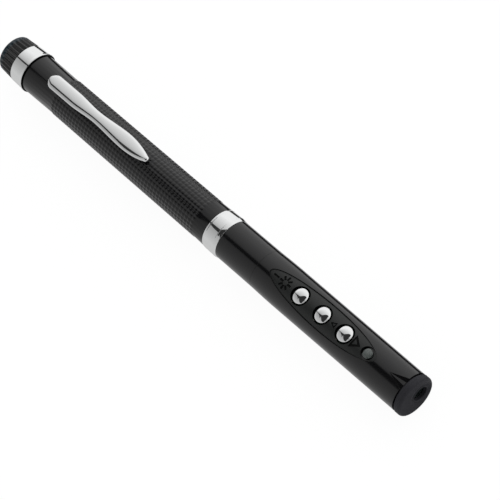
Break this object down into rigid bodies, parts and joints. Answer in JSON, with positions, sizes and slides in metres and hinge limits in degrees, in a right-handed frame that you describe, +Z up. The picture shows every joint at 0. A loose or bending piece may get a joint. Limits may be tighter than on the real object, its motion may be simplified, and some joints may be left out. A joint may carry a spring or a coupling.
{
  "type": "laser pointer",
  "caption": "Round pen-shaped wireless presenter with a laser pointer: fluted screw tail cap, waisted pocket clip, ringed barrel, recessed panel with dome buttons and a status lamp.",
  "frame": {"origin": "on the surface that the pen lies on, below the middle of its length", "axes": "+X along the pen towards the nose, +Z up, on the side of the buttons and the clip"},
  "size_m": [0.175, 0.0136, 0.0153],
  "materials": {
    "black_lacquer": "gloss black lacquer on a fine squared texture",
    "black_gloss": "gloss black",
    "black_plastic": "satin black",
    "chrome": "polished",
    "spring_steel": "drawn wire",
    "nickel": "plated",
    "brass": "turned",
    "cell_wrap": "plain printed film",
    "seal_rubber": "matt",
    "board_green": "solder mask",
    "chip_black": "moulded epoxy",
    "ceramic_white": "fired ceramic",
    "smoked_clear": "frosted clear acrylic",
    "clear_glass": "polished"
  },
  "bodies": {
    "pen": {"tail_ring": "chrome", "upper_barrel": "black_lacquer", "battery_rear": "cell_wrap", "battery_front": "cell_wrap", "positive_contact": "nickel", "mid_ring": "chrome", "joint_sleeve": "brass", "lower_sleeve": "black_gloss", "contact_block": "black_plastic", "front_housing": "black_gloss", "keypad_panel": "black_gloss", "tact_switch_1": "nickel", "tact_switch_2": "nickel", "tact_switch_3": "nickel", "main_board": "board_green", "radio_chip": "chip_black", "crystal": "nickel", "antenna_chip": "ceramic_white", "status_led": "ceramic_white", "led_lens": "smoked_clear", "board_carrier": "black_plastic", "board_screw_1": "nickel", "board_screw_2": "nickel", "driver_board": "board_green", "laser_body": "brass", "laser_diode": "nickel", "collimating_lens": "clear_glass", "lens_ring": "black_plastic", "nose_cap": "black_plastic", "aperture_window": "clear_glass"},
    "cap_seal": {"cap_o_ring": "seal_rubber"},
    "tail_cap": {"tail_cap": "black_plastic", "battery_spring": "spring_steel"},
    "clip": {"clip": "chrome"},
    "button_1": {"button_1": "chrome"},
    "button_2": {"button_2": "chrome"},
    "button_3": {"button_3": "chrome"}
  },
  "joints": [
    {"name": "cap_draw", "type": "slide", "parent": "pen", "child": "cap_seal", "axis": [-1, 0, 0], "range_m": [0, 0.0045]},
    {"name": "cap_turn", "type": "hinge", "parent": "cap_seal", "child": "tail_cap", "pos_m": [-0.08117, 0, 0.00679], "axis": [-1, 0, 0], "range_deg": [0, 1085]},
    {"name": "clip_flex", "type": "hinge", "parent": "pen", "child": "clip", "pos_m": [-0.06373, 0.00044, 0.01313], "axis": [0, -0.9976, 0.0698], "range_deg": [0, 4], "stiffness_Nm_per_rad": 1.5},
    {"name": "button_1_press", "type": "slide", "parent": "pen", "child": "button_1", "axis": [0, 0, -1], "range_m": [0, 0.0004], "stiffness_N_per_m": 2000},
    {"name": "button_2_press", "type": "slide", "parent": "pen", "child": "button_2", "axis": [0, 0, -1], "range_m": [0, 0.0004], "stiffness_N_per_m": 2000},
    {"name": "button_3_press", "type": "slide", "parent": "pen", "child": "button_3", "axis": [0, 0, -1], "range_m": [0, 0.0004], "stiffness_N_per_m": 2000}
  ],
  "couplings": [
    {"joint": "cap_turn", "follows": "cap_draw", "rad_per_m": 4188.8}
  ]
}
